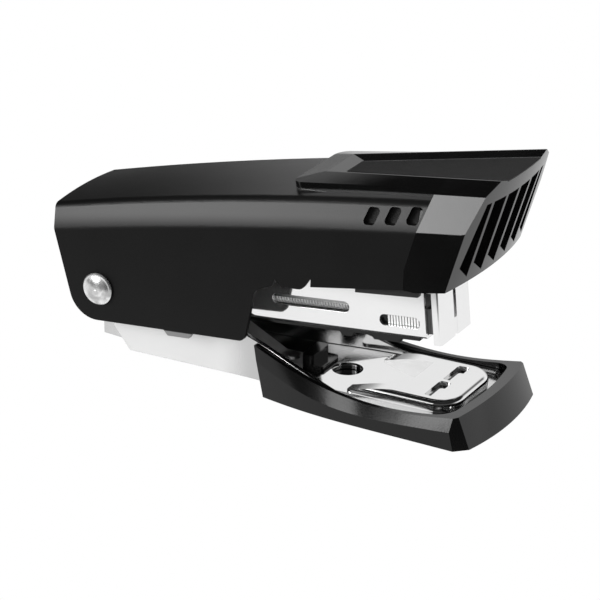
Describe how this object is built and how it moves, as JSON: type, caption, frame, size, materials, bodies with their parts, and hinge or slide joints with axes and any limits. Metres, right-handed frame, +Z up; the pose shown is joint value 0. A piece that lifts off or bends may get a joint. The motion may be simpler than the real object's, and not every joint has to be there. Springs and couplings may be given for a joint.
{
  "type": "stapler",
  "caption": "Desk stapler with a folded steel cover and moulded nose cap over a hinged staple magazine with sprung pusher, driver blade, and a shod base with clinching anvil.",
  "frame": {"origin": "centre of the footprint on the table", "axes": "+X from the hinge towards the nose, +Y to the left, +Z up"},
  "size_m": [0.1128, 0.0384, 0.0613],
  "materials": {
    "cover_paint": "satin black",
    "cap_plastic": "gloss black",
    "chrome": "polished",
    "black_plastic": "semi-gloss black",
    "steel": "plain",
    "pin_steel": "polished",
    "spring_steel": "bright",
    "staple_wire": "galvanised",
    "rubber": "matt black"
  },
  "bodies": {
    "base": {"base_frame": "chrome", "base_shoe": "black_plastic", "shoe_pad": "rubber", "rear_foot": "rubber", "anvil_plate": "chrome", "spring_block": "black_plastic", "base_spring": "spring_steel", "base_rivet": "steel", "pivot_pin": "pin_steel", "pin_bush_left": "steel", "pin_bush_right": "steel", "pin_spacer_left": "steel", "pin_spacer_right": "steel"},
    "magazine_unit": {"magazine": "chrome", "magazine_keel": "black_plastic", "front_guide": "chrome", "staple_rail": "steel", "rod_anchor": "black_plastic", "pusher_rod": "steel", "staple_strip": "staple_wire", "pusher_spring": "spring_steel"},
    "pusher_unit": {"pusher": "black_plastic"},
    "cover_unit": {"top_cover": "cover_paint", "front_cap": "cap_plastic", "driver_blade": "steel", "driver_holder": "black_plastic", "driver_rivet_left": "steel", "driver_rivet_right": "steel", "lift_spring": "spring_steel"}
  },
  "joints": [
    {"name": "magazine_press", "type": "hinge", "parent": "base", "child": "magazine_unit", "pos_m": [-0.04286, 0, 0.0189], "axis": [0, -1, 0], "range_deg": [-7.4, 0], "stiffness_Nm_per_rad": 1, "springref_deg": 11.46, "deforming": ["base_spring"]},
    {"name": "cover_swing", "type": "hinge", "parent": "magazine_unit", "child": "cover_unit", "pos_m": [-0.04286, 0, 0.0189], "axis": [0, -1, 0], "range_deg": [-5.3, 90], "stiffness_Nm_per_rad": 0.6, "springref_deg": 2.86, "deforming": ["lift_spring"]},
    {"name": "pusher_slide", "type": "slide", "parent": "magazine_unit", "child": "pusher_unit", "axis": [0.9962, 0, 0.0872], "range_m": [-0.036, 0], "stiffness_N_per_m": 25, "springref_m": 0.06, "deforming": ["pusher_spring"]}
  ]
}
